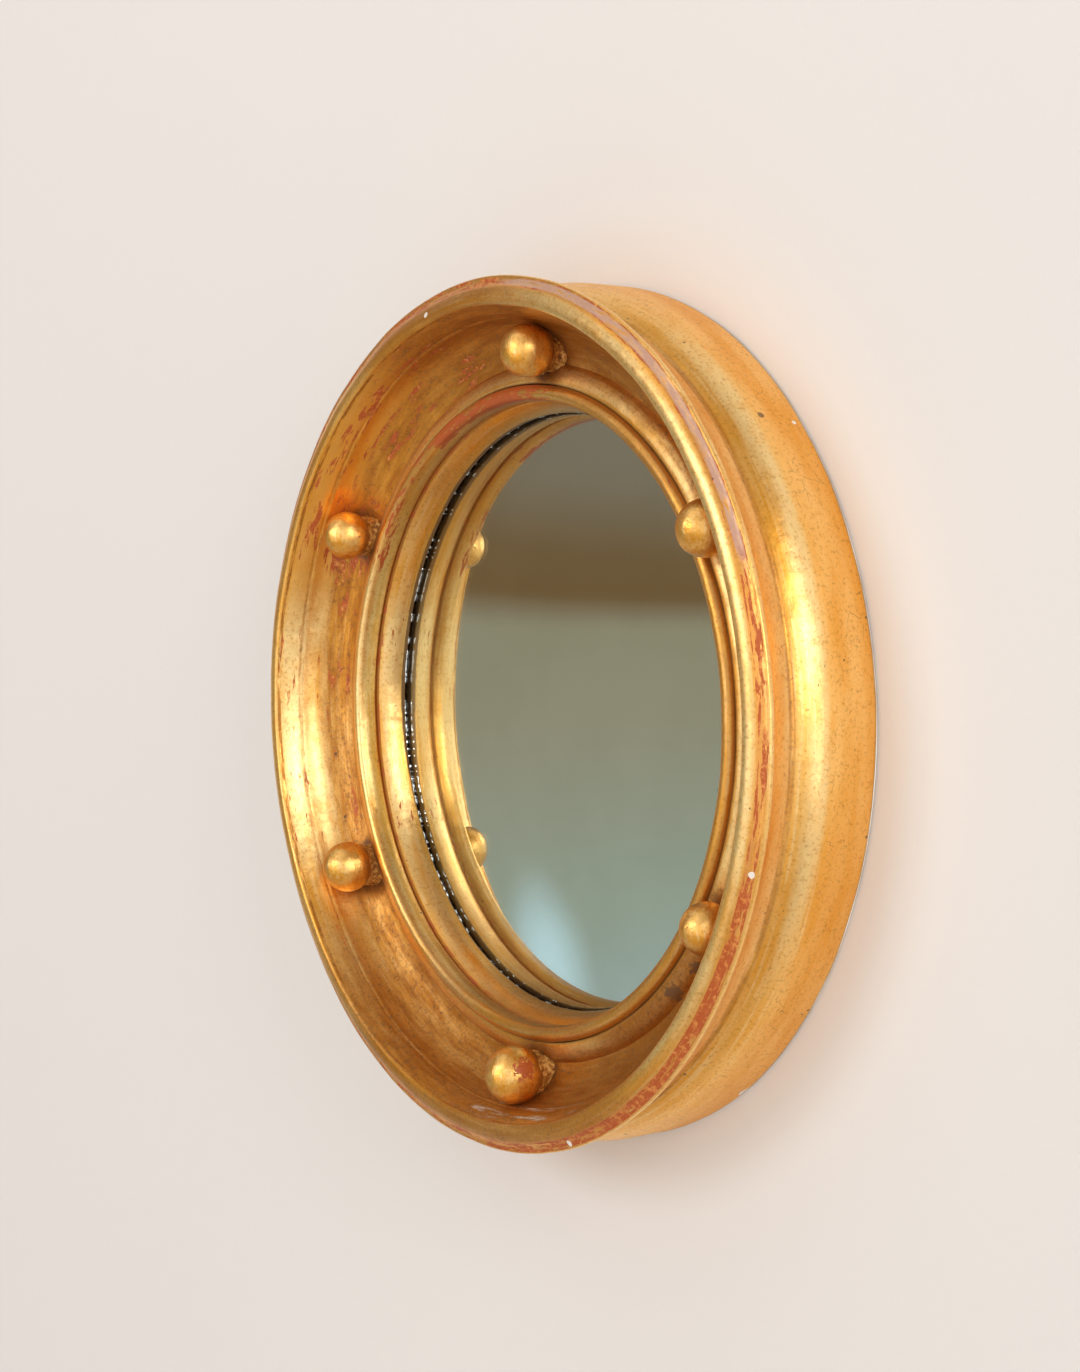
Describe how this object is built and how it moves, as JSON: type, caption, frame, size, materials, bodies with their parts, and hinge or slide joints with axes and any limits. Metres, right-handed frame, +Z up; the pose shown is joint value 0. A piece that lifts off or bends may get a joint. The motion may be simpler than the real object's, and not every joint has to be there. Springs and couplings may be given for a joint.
{
  "type": "convex wall mirror",
  "caption": "Round convex mirror in a turned, gilded frame with balls set in its hollow, a backboard and a folding D-ring hanger.",
  "frame": {"origin": "on the mirror's axis, in the plane of the wall that the frame's back lies on", "axes": "+X to the right as seen from the room, +Y from the room into the wall, +Z up"},
  "size_m": [0.25, 0.0404, 0.25],
  "materials": {
    "gilt_frame": "turned wood, gesso and red bole under worn gold leaf",
    "gilt_sight_ring": "turned wood, gesso and red bole under worn gold leaf",
    "gilt_balls": "turned wood balls under worn gold leaf",
    "gilt_gesso": "rough built-up gesso with gold leaf",
    "mirror_glass": "polished, very slightly green",
    "silvering": "silvered, painted behind",
    "felt": "felt",
    "back_board": "bare aged softwood",
    "steel_brads": "dull steel",
    "dowel_wood": "bare wood",
    "brass_plate": "aged brass",
    "brass_screws": "aged brass",
    "brass_wire": "aged brass"
  },
  "bodies": {
    "mirror": {"frame_ring": "gilt_frame", "sight_ring": "gilt_sight_ring", "mirror_glass": "mirror_glass", "silvering": "silvering", "packing_ring": "felt", "backboard": "back_board", "backboard_brads": "steel_brads", "ball_1": "gilt_balls", "ball_2": "gilt_balls", "ball_3": "gilt_balls", "ball_4": "gilt_balls", "ball_5": "gilt_balls", "ball_6": "gilt_balls", "ball_collar_1": "gilt_gesso", "ball_collar_2": "gilt_gesso", "ball_collar_3": "gilt_gesso", "ball_collar_4": "gilt_gesso", "ball_collar_5": "gilt_gesso", "ball_collar_6": "gilt_gesso", "ball_dowels": "dowel_wood", "hanger_plate": "brass_plate", "hanger_screws": "brass_screws"},
    "hanger": {"hanger_ring": "brass_wire"}
  },
  "joints": [
    {"name": "hanger_hinge", "type": "hinge", "parent": "mirror", "child": "hanger", "pos_m": [0, -0.00452, 0.11295], "axis": [-1, 0, 0], "range_deg": [0, 175]}
  ]
}
